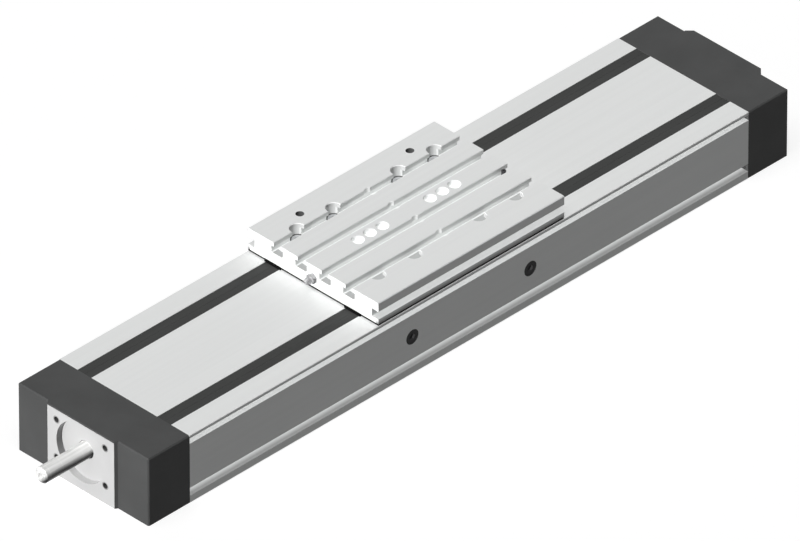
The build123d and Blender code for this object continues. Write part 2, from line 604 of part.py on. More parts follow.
def plate_wipers():
    """Rubber bars under the plate's rim that sweep the frame's top beside the strips."""
    z = (FRAME_HEIGHT + WIPER_BAR_GAP, CARRIAGE_BOTTOM)
    front, edge = CARRIAGE_LENGTH / 2 - WIPER_BAR_SETBACK, CARRIAGE_WIDTH / 2 - WIPER_BAR_SETBACK
    passage = HEAD_WIDTH / 2 + HEAD_CLEARANCE
    bars = []
    for end in ENDS.values():
        x = (end * (front - WIPER_BAR_WIDTH), end * front)
        bars.append(box(x, (passage - SLOT_CENTRE, SLOT_CENTRE - passage), z))
        bars += [box(x, (side * (SLOT_CENTRE + passage), side * edge), z) for side in SIDES.values()]
    reach, inner_edge = front - WIPER_BAR_WIDTH, edge - WIPER_BAR_WIDTH
    bars += [box((-reach, reach), (side * inner_edge, side * edge), z) for side in SIDES.values()]
    return bars


def lube_nipple():
    """A hexagonal nipple with a ball head in the middle of the carriage's front face."""
    z, face = CARRIAGE_BOTTOM + LUBE_HOLE_HEIGHT, -CARRIAGE_LENGTH / 2
    hexagon = extrude(RegularPolygon(NIPPLE_HEX_RADIUS, 6), amount=NIPPLE_HEX_HEIGHT)
    head = face - NIPPLE_HEAD_REACH
    body = Pos(face, 0, z) * Rot(0, -90, 0) * hexagon
    body += rod_x(LUBE_HOLE_RADIUS, (face, face + NIPPLE_SPIGOT), 0, z)
    body += rod_x(NIPPLE_NECK_RADIUS, (head, face), 0, z)
    body += Pos(head, 0, z) * Sphere(NIPPLE_HEAD_RADIUS)
    return body - rod_x(NIPPLE_BORE_RADIUS, (head - NIPPLE_HEAD_RADIUS, head), 0, z)


def lube_plug():
    """A set screw that closes the lube hole in the carriage's rear face."""
    z, face = CARRIAGE_BOTTOM + LUBE_HOLE_HEIGHT, CARRIAGE_LENGTH / 2
    plug = rod_x(LUBE_HOLE_RADIUS, (face - NIPPLE_SPIGOT, face - LUBE_PLUG_RECESS), 0, z)
    return plug - rod_x(LUBE_PLUG_SOCKET, (face - SOCKET_DEPTH, face), 0, z)


def housing_half_length():
    """Half the nut housing's length: the nut and a wiper at each end."""
    return NUT_LENGTH / 2 + WIPER_THICKNESS


def ear_hole_places():
    """The four screws through the nut housing's ears."""
    return [(i * EAR_HOLE_X, j * EAR_HOLE_Y) for i in (-1, 1) for j in (-1, 1)]


def ear_screw_grip():
    """How deep the housing's screws go into the saddle."""
    return SADDLE_THICKNESS - THREAD_RELIEF


def nut_housing():
    """The housing that carries the ball nut below the saddle and hangs on it by two ears."""
    half = housing_half_length()
    x = (-half, half)
    low = FLOOR_THICKNESS + HOUSING_BOTTOM_GAP
    body = box(x, (-HOUSING_WIDTH / 2, HOUSING_WIDTH / 2), (low, SADDLE_TOP))
    body += box(x, (-EAR_WIDTH / 2, EAR_WIDTH / 2), (SADDLE_TOP, SADDLE_TOP + EAR_THICKNESS))
    body -= rod_x(NUT_RADIUS, x, 0, SCREW_AXIS_HEIGHT)
    top = SADDLE_TOP + EAR_THICKNESS
    for hole_x, hole_y in ear_hole_places():
        body -= rod_z(M5_RADIUS + HOLE_CLEARANCE, hole_x, hole_y, (SADDLE_TOP, top))
        body -= rod_z(M5_HEAD_RADIUS + HEAD_POCKET_CLEARANCE, hole_x, hole_y, (top - LOW_HEAD_HEIGHT, top))
    return body


def housing_screws():
    """Low-head screws through the housing's ears into the saddle."""
    bottom = SADDLE_TOP + EAR_THICKNESS - LOW_HEAD_HEIGHT
    length = bottom - SADDLE_TOP + ear_screw_grip()
    return [cap_screw(M5_RADIUS, M5_HEAD_RADIUS, LOW_HEAD_HEIGHT, M5_SOCKET, x, y, bottom, length)
            for x, y in ear_hole_places()]


def raceway(x, pitch, ball):
    """The groove that a row of balls runs in, as a torus about the screw axis."""
    return Pos(x, 0, SCREW_AXIS_HEIGHT) * Rot(0, 90, 0) * Torus(pitch, ball + BALL_CLEARANCE)


def ball_row(x, pitch, ball, count):
    """A row of balls about the screw axis."""
    angles = [2 * pi * i / count for i in range(count)]
    return [Pos(x, pitch * cos(a), SCREW_AXIS_HEIGHT + pitch * sin(a)) * Sphere(ball) for a in angles]


def ball_screw():
    """The screw, drawn at its outside diameter, with the journals for its bearings and the coupling."""
    chamfer_in = DRIVE_JOURNAL_RADIUS - JOURNAL_CHAMFER
    return turned([
        (-JOURNAL_TIP + CENTRE_DRILL_RADIUS * 2, 0), (-JOURNAL_TIP, CENTRE_DRILL_RADIUS),
        (-JOURNAL_TIP, chamfer_in), (-JOURNAL_TIP + JOURNAL_CHAMFER, DRIVE_JOURNAL_RADIUS),
        (-RECESS_FLOOR, DRIVE_JOURNAL_RADIUS), (-RECESS_FLOOR, FIXED_JOURNAL_RADIUS),
        (-FIXED_BEARING_BACK, FIXED_JOURNAL_RADIUS), (-FIXED_BEARING_BACK, SCREW_RADIUS),
        (SCREW_END, SCREW_RADIUS), (SCREW_END, FLOATING_COLLAR_RADIUS),
        (FLOATING_BEARING_BACK, FLOATING_COLLAR_RADIUS), (FLOATING_BEARING_BACK, FLOATING_JOURNAL_RADIUS),
        (FLOATING_JOURNAL_END, FLOATING_JOURNAL_RADIUS), (FLOATING_JOURNAL_END, 0)])


def fixed_rows():
    """The two rows of balls in the fixed bearing: their places along the axis."""
    middle = -(FIXED_BEARING_BACK + FIXED_BEARING_FRONT) / 2
    return [middle - FIXED_BEARING_WIDTH / 4, middle + FIXED_BEARING_WIDTH / 4]


def bearing(inner, outer, width_x, rows, ball, count):
    """Outer ring, inner ring and balls of a bearing on the screw axis."""
    pitch = (inner + outer) / 2
    land = ball * BALL_LAND
    outer_ring = ring(outer, pitch + land, width_x)
    inner_ring = ring(pitch - land, inner, width_x)
    for x in rows:
        outer_ring -= raceway(x, pitch, ball)
        inner_ring -= raceway(x, pitch, ball)
    return outer_ring, inner_ring, [one for x in rows for one in ball_row(x, pitch, ball, count)]


def bearing_retainer():
    """The cover in the recess's floor: it holds the bearing's outer ring and carries the shaft seal."""
    outer_bore = FIXED_BEARING_RADIUS - RETAINER_RIM
    shaft_bore = FIXED_JOURNAL_RADIUS + RETAINER_SHAFT_GAP
    return turned([
        (-RECESS_FLOOR, shaft_bore), (-RECESS_FLOOR + RETAINER_LIP, shaft_bore),
        (-RECESS_FLOOR + RETAINER_LIP, SHAFT_SEAL_RADIUS), (-RETAINER_BACK, SHAFT_SEAL_RADIUS),
        (-RETAINER_BACK, outer_bore), (-FIXED_BEARING_FRONT, outer_bore),
        (-FIXED_BEARING_FRONT, FIXED_BEARING_RADIUS), (-RETAINER_BACK, FIXED_BEARING_RADIUS),
        (-RETAINER_BACK, RETAINER_RADIUS), (-RECESS_FLOOR, RETAINER_RADIUS)])


def lock_nut():
    """The slotted nut that clamps the fixed bearing's inner ring."""
    x = (-LOCK_NUT_FRONT, -FIXED_BEARING_FRONT)
    nut = ring(LOCK_NUT_RADIUS, FIXED_JOURNAL_RADIUS, x)
    slot_y = (-LOCK_NUT_SLOT / 2, LOCK_NUT_SLOT / 2)
    slot = box(x, slot_y, (LOCK_NUT_RADIUS - LOCK_NUT_SLOT_DEPTH, LOCK_NUT_RADIUS))
    for turn in range(4):
        nut -= Pos(0, 0, SCREW_AXIS_HEIGHT) * Rot(90 * turn, 0, 0) * slot
    return nut


def end_block_body(end):
    """What both end blocks share: the body, the ledge under the cover's tab and the screw holes."""
    inner, outer = end * HALF_LENGTH, end * BLOCK_FACE
    body = box((inner, outer), (-BLOCK_SIDE, BLOCK_SIDE), (0, BLOCK_HIGH))
    body -= box((inner, outer), (-SLOT_INNER, SLOT_INNER), (COVER_UNDERSIDE, BLOCK_HIGH))
    for screw in cover_plate_screws():
        body -= screw
    for side in SIDES.values():
        for y, z in (BLOCK_SCREW_LOW, BLOCK_SCREW_HIGH):
            body -= rod_x(M5_RADIUS + HOLE_CLEARANCE, (inner, outer), side * y, z)
            pocket = (outer - end * M5_HEAD_HEIGHT, outer)
            body -= rod_x(M5_HEAD_RADIUS + HEAD_POCKET_CLEARANCE, pocket, side * y, z)
        stem = (inner, inner + end * BUMPER_STEM_LENGTH)
        body -= rod_x(BUMPER_STEM_RADIUS, stem, side * BUMPER_Y, bumper_height())
        body -= cap_rib(end, side)
    return body


def cap_rib(end, side):
    """The snap rib on a cap's side wall, and the same shape as its groove in the block."""
    middle = end * (HALF_LENGTH + END_LENGTH / 2)
    depth = (side * (BLOCK_SIDE - CAP_RIB_HEIGHT), side * (BLOCK_SIDE + CAP_CLEARANCE))
    height = ((FRAME_HEIGHT - CAP_RIB_LENGTH) / 2, (FRAME_HEIGHT + CAP_RIB_LENGTH) / 2)
    return box((middle - CAP_RIB_WIDTH / 2, middle + CAP_RIB_WIDTH / 2), depth, height)


def bumper_height():
    """The bumpers meet the saddle's end at its mid thickness."""
    return (BLOCK_TOP + SADDLE_TOP) / 2


def flange_hole_places():
    """The four threaded holes for the motor mount, as (y, z)."""
    return [(i * FLANGE_HOLE_SPACING_Y / 2, SCREW_AXIS_HEIGHT + j * FLANGE_HOLE_SPACING_Z / 2)
            for i in (-1, 1) for j in (-1, 1)]


def drive_end_block():
    """The drive end's bearing block, whose front boss is the mounting flange."""
    body = end_block_body(-1)
    half = FLANGE_PLATE_WIDTH / 2
    body += box((-PLATE_FACE, -BLOCK_FACE), (-half, half), (0, BLOCK_HIGH))
    body += box((-BLOCK_FACE, -BLOCK_FACE + CAP_WALL), (-half, half), (COVER_UNDERSIDE, BLOCK_HIGH))
    body -= ring(RECESS_RADIUS, 0, (-PLATE_FACE, -RECESS_FLOOR))
    body -= ring(RETAINER_RADIUS, 0, (-RECESS_FLOOR, -RETAINER_BACK))
    body -= ring(FIXED_BEARING_RADIUS, 0, (-RETAINER_BACK, -FIXED_BEARING_BACK))
    body -= ring(SHOULDER_BORE_RADIUS, 0, (-FIXED_BEARING_BACK, -HALF_LENGTH))
    for y, z in flange_hole_places():
        body -= rod_x(FLANGE_HOLE_RADIUS, (-PLATE_FACE, -PLATE_FACE + FLANGE_HOLE_DEPTH), y, z)
    return body


def far_end_block():
    """The far end's block, with the floating bearing's bore open to the back."""
    body = end_block_body(1)
    body -= ring(SHOULDER_BORE_RADIUS, 0, (HALF_LENGTH, HALF_LENGTH + SHOULDER_THICKNESS))
    return body - ring(FLOATING_BEARING_RADIUS, 0, (HALF_LENGTH + SHOULDER_THICKNESS, BLOCK_FACE))


def cap_hood(end):
    """The plastic hood over an end block: a front wall, two side walls and a thin top."""
    x = (end * HALF_LENGTH, end * END_FACE)
    hood = box(x, (-HALF_WIDTH, HALF_WIDTH), (0, FRAME_HEIGHT))
    rim = [edge for edge in hood.edges() if edge.center().Z > 1 and end * edge.center().X > HALF_LENGTH + 1]
    hood = chamfer(rim, CAP_CHAMFER)
    inner = HALF_WIDTH - CAP_SIDE_WALL
    hood -= box((end * HALF_LENGTH, end * BLOCK_FACE), (-inner, inner), (0, FRAME_HEIGHT - CAP_TOP_WALL))
    for side in SIDES.values():
        hood += cap_rib(end, side)
    return hood


def drive_end_cap():
    """The drive end's cap, cut out around the flange and raised in a narrow rim beside it."""
    half = FLANGE_PLATE_WIDTH / 2
    edge = half + RIM_WIDTH
    root = -END_FACE + CAP_CHAMFER
    rim = [(root, -edge), (-END_FACE, -edge), (-PLATE_FACE, -half),
           (-PLATE_FACE, half), (-END_FACE, edge), (root, edge)]
    hood = cap_hood(-1) + extrude(make_face(Polyline(*rim, close=True)), amount=FRAME_HEIGHT)
    opening = half + RUNNING_CLEARANCE
    return hood - box((-PLATE_FACE, -BLOCK_FACE), (-opening, opening), (0, FRAME_HEIGHT - CAP_TOP_WALL))


def far_end_cap():
    """The far end's cap with its raised panel, hollow behind."""
    base, top = PANEL_WIDTH / 2, PANEL_WIDTH / 2 - PANEL_HEIGHT
    reach = END_FACE + PANEL_HEIGHT
    root = END_FACE - CAP_CHAMFER
    panel = [(root, -base), (END_FACE, -base), (reach, -top), (reach, top), (END_FACE, base), (root, base)]
    hood = cap_hood(1) + extrude(make_face(Polyline(*panel, close=True)), amount=FRAME_HEIGHT)
    hollow = [(BLOCK_FACE, -base + PANEL_SKIN), (reach - PANEL_SKIN, -top + PANEL_SKIN),
              (reach - PANEL_SKIN, top - PANEL_SKIN), (BLOCK_FACE, base - PANEL_SKIN)]
    return hood - extrude(make_face(Polyline(*hollow, close=True)), amount=FRAME_HEIGHT - PANEL_SKIN)


def block_screws(end):
    """The four cap screws that hold an end block to the frame."""
    under_head = end * (BLOCK_FACE - M5_HEAD_HEIGHT)
    tip = end * (HALF_LENGTH - BLOCK_SCREW_GRIP)
    top = end * BLOCK_FACE
    screws = []
    for side in SIDES.values():
        for y, z in (BLOCK_SCREW_LOW, BLOCK_SCREW_HIGH):
            screw = rod_x(M5_RADIUS, (tip, under_head), side * y, z)
            screw += rod_x(M5_HEAD_RADIUS, (under_head, top), side * y, z)
            socket = extrude(RegularPolygon(M5_SOCKET, 6), amount=SOCKET_DEPTH)
            screws.append(screw - Pos(top, side * y, z) * Rot(0, -90 * end, 0) * socket)
    return screws


def bumpers(end):
    """Rubber buffers that stop the saddle at the end of its travel."""
    inner, z = end * HALF_LENGTH, bumper_height()
    return [rod_x(BUMPER_RADIUS, (inner - end * BUMPER_LENGTH, inner), side * BUMPER_Y, z)
            + rod_x(BUMPER_STEM_RADIUS, (inner, inner + end * BUMPER_STEM_LENGTH), side * BUMPER_Y, z)
            for side in SIDES.values()]


def side_plugs():
    """Plugs that close the service holes in the frame's walls, with a rim inside and a hexagonal socket."""
    plugs = []
    for side in SIDES.values():
        for end in ENDS.values():
            x = end * SERVICE_HOLE_OFFSET
            face = side * (HALF_WIDTH - PLUG_RECESS)
            inner = side * INNER_WALL
            rim = (side * (INNER_WALL - PLUG_RIM_THICKNESS), inner)
            plug = rod_y(SERVICE_HOLE_RADIUS - PLUG_CLEARANCE, x, (inner, face), SCREW_AXIS_HEIGHT)
            plug += rod_y(SERVICE_HOLE_RADIUS + PLUG_RIM, x, rim, SCREW_AXIS_HEIGHT)
            socket = extrude(RegularPolygon(PLUG_SOCKET_RADIUS, 6), amount=PLUG_SOCKET_DEPTH)
            plugs.append(plug - Pos(x, face, SCREW_AXIS_HEIGHT) * Rot(90 * side, 0, 0) * socket)
    return plugs


# Frame and what is fixed to it
save("frame_profile", frame_profile())
save("cover_plate", cover_plate())
save("cover_plate_screws", *cover_plate_screws())
for side_name, side in SIDES.items():
    save(f"outer_seal_{side_name}", strip(side, True))
    save(f"inner_seal_{side_name}", strip(side, False))
    save(f"guide_rail_{side_name}", guide_rail(side))
    save(f"rail_screws_{side_name}", *rail_screws(side))
    save(f"rail_plugs_{side_name}", *rail_plugs(side))
save("side_plugs", *side_plugs())

# Ends
save("drive_end_block", drive_end_block())
save("far_end_block", far_end_block())
save("drive_end_cap", drive_end_cap())
save("far_end_cap", far_end_cap())
save("drive_block_screws", *block_screws(-1))
save("far_block_screws", *block_screws(1))
save("drive_bumpers", *bumpers(-1))
save("far_bumpers", *bumpers(1))
save("bearing_retainer", bearing_retainer())
seal_x = (-RECESS_FLOOR + RETAINER_LIP, -RETAINER_BACK)
save("shaft_seal", ring(SHAFT_SEAL_RADIUS, FIXED_JOURNAL_RADIUS + RUNNING_CLEARANCE, seal_x))

# Screw and its bearings
save("ball_screw", ball_screw())
save("lock_nut", lock_nut())
circlip_x = (FLOATING_BEARING_FRONT, CIRCLIP_FRONT)
save("shaft_circlip", ring(CIRCLIP_RADIUS, FLOATING_JOURNAL_RADIUS, circlip_x))
fixed_x = (-FIXED_BEARING_FRONT, -FIXED_BEARING_BACK)
fixed = bearing(FIXED_JOURNAL_RADIUS, FIXED_BEARING_RADIUS, fixed_x, fixed_rows(),
                FIXED_BALL_RADIUS, FIXED_BALL_COUNT)
floating_x = (FLOATING_BEARING_BACK, FLOATING_BEARING_FRONT)
floating_row = [(FLOATING_BEARING_BACK + FLOATING_BEARING_FRONT) / 2]
floating = bearing(FLOATING_JOURNAL_RADIUS, FLOATING_BEARING_RADIUS, floating_x, floating_row,
                   FLOATING_BALL_RADIUS, FLOATING_BALL_COUNT)
for bearing_name, (outer_ring, inner_ring, balls) in (("fixed", fixed), ("floating", floating)):
    save(f"{bearing_name}_bearing_outer_ring", outer_ring)
    save(f"{bearing_name}_bearing_inner_ring", inner_ring)
    save(f"{bearing_name}_bearing_balls", *balls)

# Carriage
save("carriage_plate", carriage_plate())
save("inner_saddle", inner_saddle())
save("carriage_screws", *carriage_screws())
save("saddle_screws", *saddle_screws())
save("strip_guides", *strip_guides())
save("plate_wipers", *plate_wipers())
save("slot_stop_screw", stop_screw())
save("lube_nipple", lube_nipple())
save("lube_plug", lube_plug())
for end_name, end in ENDS.items():
    for side_name, side in SIDES.items():
        save(f"runner_block_{end_name}_{side_name}", runner_block(side, end))
        save(f"runner_caps_{end_name}_{side_name}",
             *block_ends(side, end, 0, BLOCK_CAP_LENGTH, BLOCK_CAP_INSET, RAIL_CLEARANCE))
        save(f"runner_seals_{end_name}_{side_name}",
             *block_ends(side, end, BLOCK_CAP_LENGTH, BLOCK_SEAL_THICKNESS, BLOCK_SEAL_INSET, SEAL_CLEARANCE))
save("nut_housing", nut_housing())
save("housing_screws", *housing_screws())
nut_end, nut_bore = NUT_LENGTH / 2, SCREW_RADIUS + NUT_CLEARANCE
save("ball_nut", ring(NUT_RADIUS, nut_bore, (-nut_end, nut_end)))
save("nut_wipers", *[ring(NUT_RADIUS, nut_bore, sorted((way * nut_end, way * housing_half_length())))
                     for way in (-1, 1)])
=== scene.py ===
import json
from math import radians

import bmesh
import bpy
from mathutils import Matrix, Vector


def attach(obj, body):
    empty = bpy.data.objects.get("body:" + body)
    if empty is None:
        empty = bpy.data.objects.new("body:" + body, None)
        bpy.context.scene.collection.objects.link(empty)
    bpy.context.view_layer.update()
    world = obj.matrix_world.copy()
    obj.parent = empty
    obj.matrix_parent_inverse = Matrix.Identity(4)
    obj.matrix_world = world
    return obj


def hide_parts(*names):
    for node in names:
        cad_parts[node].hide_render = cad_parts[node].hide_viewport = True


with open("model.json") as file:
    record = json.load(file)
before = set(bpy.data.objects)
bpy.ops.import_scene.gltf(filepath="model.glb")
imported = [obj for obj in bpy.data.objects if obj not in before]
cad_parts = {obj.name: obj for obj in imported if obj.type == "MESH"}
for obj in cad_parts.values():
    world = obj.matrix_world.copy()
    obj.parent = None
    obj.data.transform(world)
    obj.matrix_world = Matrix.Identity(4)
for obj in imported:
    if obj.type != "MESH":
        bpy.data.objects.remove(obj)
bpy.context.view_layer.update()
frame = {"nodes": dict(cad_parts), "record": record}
nodes = frame["nodes"]
MM = 0.001

# Camera: from the drive end's right, aimed so that the middle of the frame lies where the photograph shows it.
# The lens is the longest with which the object isn't cut off when the camera moves to other views.
IMAGE_WIDTH, IMAGE_HEIGHT = 800, 541
AZIMUTH, ELEVATION = -44.95, 35.35
LENS, SENSOR = 1150.0, 36.0
PIXELS_PER_METRE = 1273.0
AIM_POINT = Vector((0.0, 0.0, 32.0)) * MM
AIM_PIXEL = (406.2, 267.9)

# Lamps: suns, with the direction that each shines from, and the spread in degrees
KEY_FROM, KEY_STRENGTH, KEY_SPREAD = (-0.90, 0.0, 0.44), 4.0, 20.0
TOP_FROM, TOP_STRENGTH, TOP_SPREAD = (-0.30, -0.10, 0.95), 0.74, 45.0
AMBIENT = 0.070
FLOOR_COLOUR, FLOOR_GLOW, FLOOR_BOUNCE, FLOOR_REACH = 0.80, 0.32, 0.12, 30.0

# Seal strips, in millimetres as all that follows
STRIP_LENGTH, STRIP_WIDTH, STRIP_CENTRE = 620.0, 15.5, 44.25
STRIP_Z = (61.2, 63.6)
SEAM, LIP_BEVEL = 0.06, 0.12

# End closures of the passages that the strips take through the carriage
PASSAGE_HALF, CLOSURE_GAP, CLOSURE_BEVEL = 9.0, 0.03, 0.15
CLOSURE_X, CLOSURE_Z = (102.05, 102.98), (66.02, 69.45)
# Black rubber brushes under the closures, partly real brushes and partly a dark piece standing in for the shade in
# the passages' mouths
SHADE_BRUSH_X, SHADE_BRUSH_Z = (102.05, 104.1), (63.75, 65.98)

# Where holes, slots and edges lie, for finishes, painted shade and painted light that differ there; masks reach a
# skin past a surface
SKIN = 0.05
SCREW_AXIS, UNDERSIDE_AXIS, UNDERSIDE = 35.0, (0.0, 0.707, 0.707), (19.6, 23.4)
TEE_PITCH, TEE_FLOOR, TEE_LIP, TEE_OUTSIDE = 26.6, 76.0, 82.0, 48.0
# Painted shade on the slot floors: a band down each slot's middle, at given places along the outer slots and near the
# ends
SLOT_SHADE_HALF_WIDTH, SLOT_SHADE_HALF_LENGTH, SLOT_SHADE_PLACES, SLOT_SHADE_ENDS = 5.0, 7.0, (-66.0, -26.0, 46.0, 86.0), 97.0
# Painted shade on the rim's lower edge beside the wipers
RIM_SHADE = (66.6, 69.2)
# GROOVE_SHADE_REACH is how far in the painted shade reaches across the clamp grooves' floors
NEAR_SIDE, GROOVE_INSIDE, CLAMP_GROOVE_FLOOR, GROOVE_SHADE_REACH = 70.0, 62.0, 6.6, 4.2
LOCATING_HOLE, LOCATING_RADIUS = (61.0, 57.0, 0.0), 3.5
COUNTERBORE, COUNTERBORE_SPREAD, COUNTERBORE_RADIUS = (56.0, 44.25, 0.0), 20.0, 6.5
SERVICE_HOLE, SERVICE_RADIUS = (65.5, 0.0, 0.0), 6.75
# FLANGE_HOLE_SHADE is the radius of a painted ring of shade round each hole, standing in for a countersink
FLANGE_HOLE, FLANGE_HOLE_RADIUS, FLANGE_HOLE_SHADE = (0.0, 27.0, 18.0), 2.5, 3.5
# Painted shade on the recess wall begins at RECESS_SHADE_START and is full at the recess radius
RECESS_RADIUS, RECESS_SKIN, RECESS_SHADE_START = 27.0, 0.15, 8.0


# ---------------------------------------------------------------- materials

def new_material(name, colour, metallic, roughness, **sockets):
    """A material with one Principled shader; returns it, its tree and the shader."""
    material = bpy.data.materials.new(name)
    material.use_nodes = True
    tree = material.node_tree
    shader = tree.nodes["Principled BSDF"]
    shader.inputs["Base Color"].default_value = (*colour, 1.0)
    shader.inputs["Metallic"].default_value = metallic
    shader.inputs["Roughness"].default_value = roughness
    for socket, value in sockets.items():
        shader.inputs[socket.replace("_", " ")].default_value = value
    material.diffuse_color = (*colour, 1.0)
    return material, tree, shader


def pattern(tree, scale, detail=3.0, roughness=0.55, kind="ShaderNodeTexNoise", stretch=(1, 1, 1)):
    """A noise on object coordinates, stretched as told, with its size in cycles per metre."""
    place = tree.nodes.new("ShaderNodeTexCoord")
    mapping = tree.nodes.new("ShaderNodeMapping")
    mapping.inputs["Scale"].default_value = stretch
    texture = tree.nodes.new(kind)
    texture.inputs["Scale"].default_value = scale
    if kind == "ShaderNodeTexNoise":
        texture.inputs["Detail"].default_value = detail
        texture.inputs["Roughness"].default_value = roughness
    tree.links.new(place.outputs["Object"], mapping.inputs["Vector"])
    tree.links.new(mapping.outputs["Vector"], texture.inputs["Vector"])
    return texture


def spread(tree, source, low, high):
    """The noise's useful middle range mapped to low..high."""
    node = tree.nodes.new("ShaderNodeMapRange")
    node.inputs["From Min"].default_value = 0.3
    node.inputs["From Max"].default_value = 0.7
    node.inputs["To Min"].default_value = low
    node.inputs["To Max"].default_value = high
    tree.links.new(source, node.inputs["Value"])
    return node.outputs["Result"]


def tint(tree, shader, factor, dark, light):
    """Base colour that wanders between two tones."""
    mix = tree.nodes.new("ShaderNodeMix")
    mix.data_type = "RGBA"
    mix.inputs["A"].default_value = (*dark, 1.0)
    mix.inputs["B"].default_value = (*light, 1.0)
    tree.links.new(factor, mix.inputs["Factor"])
    tree.links.new(mix.outputs["Result"], shader.inputs["Base Color"])


def relief(tree, shader, height, strength, distance):
    """A bump from a height pattern; distance in metres."""
    bump = tree.nodes.new("ShaderNodeBump")
    bump.inputs["Strength"].default_value = strength
    bump.inputs["Distance"].default_value = distance
    tree.links.new(height, bump.inputs["Height"])
    tree.links.new(bump.outputs["Normal"], shader.inputs["Normal"])


def calculate(tree, operation, *values):
    """A Math node on sockets and numbers; returns its result."""
    node = tree.nodes.new("ShaderNodeMath")
    node.operation = operation
    for socket, value in zip(node.inputs, values):
        if isinstance(value, (int, float)):
            socket.default_value = value
        else:
            tree.links.new(value, socket)
    return node.outputs["Value"]


def steer(tree, operation, first, second=None):
    """A Vector Math node on a socket and a vector; returns its first result in use."""
    node = tree.nodes.new("ShaderNodeVectorMath")
    node.operation = operation
    tree.links.new(first, node.inputs[0])
    if second is not None:
        node.inputs[1].default_value = second
    return node.outputs["Value" if operation in ("LENGTH", "DOT_PRODUCT") else "Vector"]


def in_millimetres(tree):
    """The object coordinates in millimetres."""
    place = tree.nodes.new("ShaderNodeTexCoord")
    return steer(tree, "MULTIPLY", place.outputs["Object"], (1 / MM, 1 / MM, 1 / MM))


def along(tree, axis):
    """One object coordinate in millimetres."""
    split = tree.nodes.new("ShaderNodeSeparateXYZ")
    tree.links.new(in_millimetres(tree), split.inputs[0])
    return split.outputs[axis]


def between(tree, value, low, high):
    """1 where the value lies between two numbers, else 0."""
    return calculate(tree, "MULTIPLY", calculate(tree, "GREATER_THAN", value, low),
                     calculate(tree, "LESS_THAN", value, high))


def ramp(tree, value, low, high):
    """0 below the low number and 1 above the high one, straight between them."""
    node = tree.nodes.new("ShaderNodeMapRange")
    node.inputs["From Min"].default_value = low
    node.inputs["From Max"].default_value = high
    tree.links.new(value, node.inputs["Value"])
    return node.outputs["Result"]


def from_axes(tree, middle, offset, across):
    """The distance to the nearest of the holes that mirror each other about a middle point."""
    place = steer(tree, "ABSOLUTE", steer(tree, "SUBTRACT", in_millimetres(tree), middle))
    return steer(tree, "LENGTH", steer(tree, "MULTIPLY", steer(tree, "SUBTRACT", place, offset), across))


def shade(tree, shader, where, tone):
    """Multiply the base colour by a tone where the mask is 1."""
    mix = tree.nodes.new("ShaderNodeMix")
    mix.data_type, mix.blend_type = "RGBA", "MULTIPLY"
    before = shader.inputs["Base Color"].links[0].from_socket
    tree.links.new(where, mix.inputs["Factor"])
    tree.links.new(before, mix.inputs["A"])
    mix.inputs["B"].default_value = (tone, tone, tone, 1.0)
    tree.links.new(mix.outputs["Result"], shader.inputs["Base Color"])


def scaled(colour, factor):
    return tuple(min(1.0, channel * factor) for channel in colour)


def extruded_aluminium(name, colour):
    """Clear anodised extrusion: a satin skin with faint die lines along the length."""
    material, tree, shader = new_material(name, colour, 0.0, 0.42, Specular_IOR_Level=0.3)
    lines = pattern(tree, 260.0, detail=2.0, stretch=(0.01, 1, 1))
    clouds = pattern(tree, 9.0, detail=4.0)
    tint(tree, shader, spread(tree, lines.outputs["Fac"], 0.0, 1.0), scaled(colour, 0.985), scaled(colour, 1.01))
    tree.links.new(spread(tree, clouds.outputs["Fac"], 0.38, 0.46), shader.inputs["Roughness"])
    relief(tree, shader, lines.outputs["Fac"], 0.25, 0.00004)
    return material


def frame_aluminium(name, colour):
    """The frame's extrusion, with painted shade inside the plugs' holes and across the clamp grooves' floors, darker
    towards their outer edges as a rounded edge would look.
    """
    material = extruded_aluminium(name, colour)
    tree = material.node_tree
    shader = tree.nodes["Principled BSDF"]
    # Painted shade inside the plugs' holes
    away = from_axes(tree, (0, 0, SCREW_AXIS), SERVICE_HOLE, (1, 0, 1))
    shade(tree, shader, between(tree, away, -1, SERVICE_RADIUS + SKIN), 0.08)
    # Painted shade across the clamp grooves' floors, darker towards the outer edge, standing in for the light on a
    # rounded edge
    outward = ramp(tree, calculate(tree, "ABSOLUTE", along(tree, "Y")), NEAR_SIDE - GROOVE_SHADE_REACH, NEAR_SIDE)
    on_floor = between(tree, along(tree, "Z"), CLAMP_GROOVE_FLOOR - SKIN, CLAMP_GROOVE_FLOOR + SKIN)
    shade(tree, shader, calculate(tree, "MULTIPLY", outward, on_floor), 0.5)
    return material


